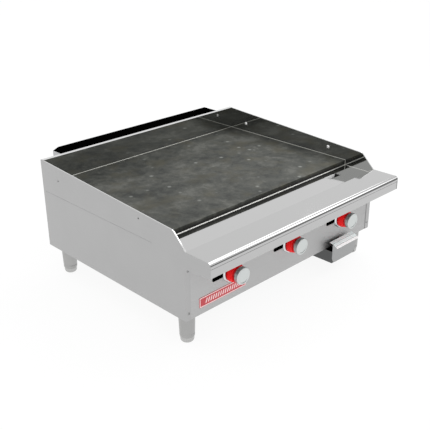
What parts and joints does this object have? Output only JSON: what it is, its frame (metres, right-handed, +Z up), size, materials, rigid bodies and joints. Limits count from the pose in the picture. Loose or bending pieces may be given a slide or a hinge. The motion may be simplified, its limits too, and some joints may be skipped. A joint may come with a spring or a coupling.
{
  "type": "countertop gas griddle",
  "caption": "Countertop gas griddle: flat steel plate with splash guards, front ledge, knobs, grease trough, drain chute, grease drawer, rear flue and levelling legs.",
  "frame": {"origin": "centre of the overall length and width, on the surface the feet stand on", "axes": "+X to the right along the front, +Y to the back, +Z up; the controls face -Y"},
  "size_m": [0.9144, 0.872, 0.429],
  "materials": {
    "stainless_sheet": "brushed stainless sheet",
    "polished_splash": "polished stainless plate",
    "griddle_steel": "seasoned, machine-ground steel plate",
    "aluminised_sheet": "aluminised steel sheet, matte",
    "flue_sheet": "stainless sheet, sooted inside",
    "burner_tube": "aluminised steel tube",
    "black_pipe": "black lacquered steel pipe",
    "bar_steel": "hot-rolled steel bar",
    "brass": "turned brass",
    "copper_tube": "small bright tube",
    "chrome_trim": "chrome plated pressing",
    "knob_red": "glossy red moulding",
    "knob_metal": "polished aluminium grip",
    "stem_steel": "ground steel shaft",
    "badge_enamel": "red enamel with a pale border",
    "drawer_sheet": "brushed stainless sheet",
    "leg_metal": "satin nickel plated steel",
    "screw_steel": "bright stainless screws"
  },
  "bodies": {
    "body": {"left_side_panel": "stainless_sheet", "right_side_panel": "stainless_sheet", "front_ledge": "stainless_sheet", "grease_trough": "stainless_sheet", "control_panel": "stainless_sheet", "back_panel": "stainless_sheet", "left_splash": "polished_splash", "right_splash": "polished_splash", "back_splash": "polished_splash", "griddle_plate": "griddle_steel", "base_pan": "aluminised_sheet", "front_heat_shield": "aluminised_sheet", "left_heat_shield": "aluminised_sheet", "right_heat_shield": "aluminised_sheet", "chamber_floor": "aluminised_sheet", "drain_chute": "aluminised_sheet", "left_drawer_rail": "aluminised_sheet", "right_drawer_rail": "aluminised_sheet", "front_plate_support": "bar_steel", "rear_plate_support": "bar_steel", "burner_rail": "bar_steel", "pipe_clamps": "bar_steel", "flue_box": "flue_sheet", "left_burner": "burner_tube", "centre_burner": "burner_tube", "right_burner": "burner_tube", "gas_manifold": "black_pipe", "gas_inlet_pipe": "black_pipe", "left_valve": "brass", "centre_valve": "brass", "right_valve": "brass", "orifice_hoods": "brass", "pilot_line": "copper_tube", "knob_bezels": "chrome_trim", "badge_plate": "badge_enamel", "front_left_leg": "leg_metal", "front_right_leg": "leg_metal", "rear_left_leg": "leg_metal", "rear_right_leg": "leg_metal", "splash_screws": "screw_steel", "front_screws": "screw_steel", "flue_screws": "screw_steel", "leg_bolts": "screw_steel"},
    "left_knob": {"left_knob_skirt": "knob_red", "left_knob_grip": "knob_metal", "left_valve_stem": "stem_steel"},
    "centre_knob": {"centre_knob_skirt": "knob_red", "centre_knob_grip": "knob_metal", "centre_valve_stem": "stem_steel"},
    "right_knob": {"right_knob_skirt": "knob_red", "right_knob_grip": "knob_metal", "right_valve_stem": "stem_steel"},
    "grease_drawer": {"drawer_pan": "drawer_sheet", "drawer_front": "drawer_sheet"},
    "front_left_leveller": {"front_left_foot": "leg_metal"},
    "front_right_leveller": {"front_right_foot": "leg_metal"},
    "rear_left_leveller": {"rear_left_foot": "leg_metal"},
    "rear_right_leveller": {"rear_right_foot": "leg_metal"}
  },
  "joints": [
    {"name": "left_knob_turn", "type": "hinge", "parent": "body", "child": "left_knob", "pos_m": [-0.2715, -0.3305, 0.2], "axis": [0, -1, 0], "range_deg": [0, 90]},
    {"name": "centre_knob_turn", "type": "hinge", "parent": "body", "child": "centre_knob", "pos_m": [0.0025, -0.3305, 0.2], "axis": [0, -1, 0], "range_deg": [0, 90]},
    {"name": "right_knob_turn", "type": "hinge", "parent": "body", "child": "right_knob", "pos_m": [0.2765, -0.3305, 0.2], "axis": [0, -1, 0], "range_deg": [0, 90]},
    {"name": "drawer_slide", "type": "slide", "parent": "body", "child": "grease_drawer", "axis": [0, -1, 0], "range_m": [0, 0.25]},
    {"name": "front_left_foot_screw", "type": "slide", "parent": "body", "child": "front_left_leveller", "axis": [0, 0, -1], "range_m": [0, 0.025]},
    {"name": "front_right_foot_screw", "type": "slide", "parent": "body", "child": "front_right_leveller", "axis": [0, 0, -1], "range_m": [0, 0.025]},
    {"name": "rear_left_foot_screw", "type": "slide", "parent": "body", "child": "rear_left_leveller", "axis": [0, 0, -1], "range_m": [0, 0.025]},
    {"name": "rear_right_foot_screw", "type": "slide", "parent": "body", "child": "rear_right_leveller", "axis": [0, 0, -1], "range_m": [0, 0.025]}
  ]
}
